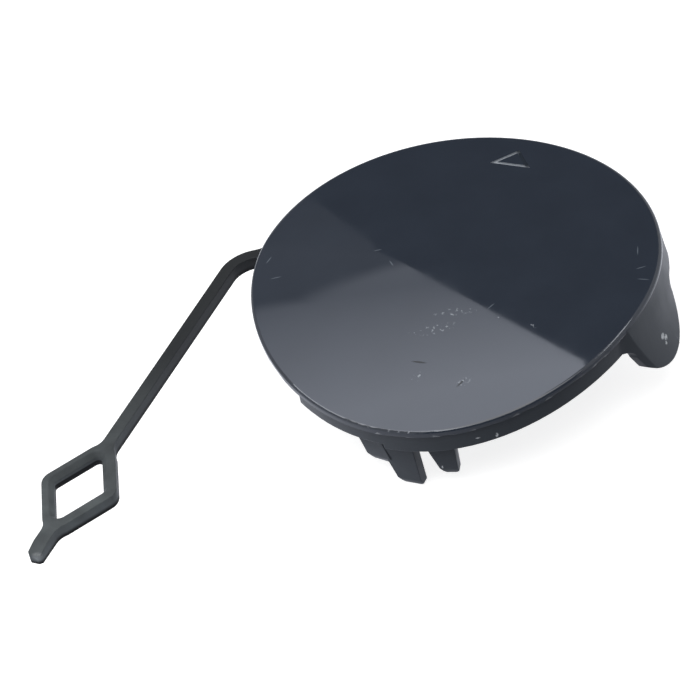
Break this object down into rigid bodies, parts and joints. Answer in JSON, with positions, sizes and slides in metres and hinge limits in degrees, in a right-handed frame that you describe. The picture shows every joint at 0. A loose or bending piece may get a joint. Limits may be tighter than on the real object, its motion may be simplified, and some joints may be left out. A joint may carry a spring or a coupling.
{
  "type": "bumper tow hook cover",
  "caption": "Round cap that closes the towing eye hole of a car bumper, with a skirt, hook tongues, snap fingers and a flexible strap that ends in a diamond loop.",
  "frame": {"origin": "crown of the show face on the axis of the skirt, which is the middle of the bumper's hole", "axes": "+Z out of the bumper along the skirt's axis, +Y from the snap fingers to the arrow mark, +X to the hook tongue on the side away from the strap"},
  "size_m": [0.0876, 0.1121, 0.0217],
  "materials": {
    "cover_plastic": "near-black injection-moulded plastic, smooth gloss show face, satin skirt, fingers and strap"
  },
  "bodies": {
    "root": {"tow_eye_cover": "cover_plastic"}
  },
  "joints": []
}
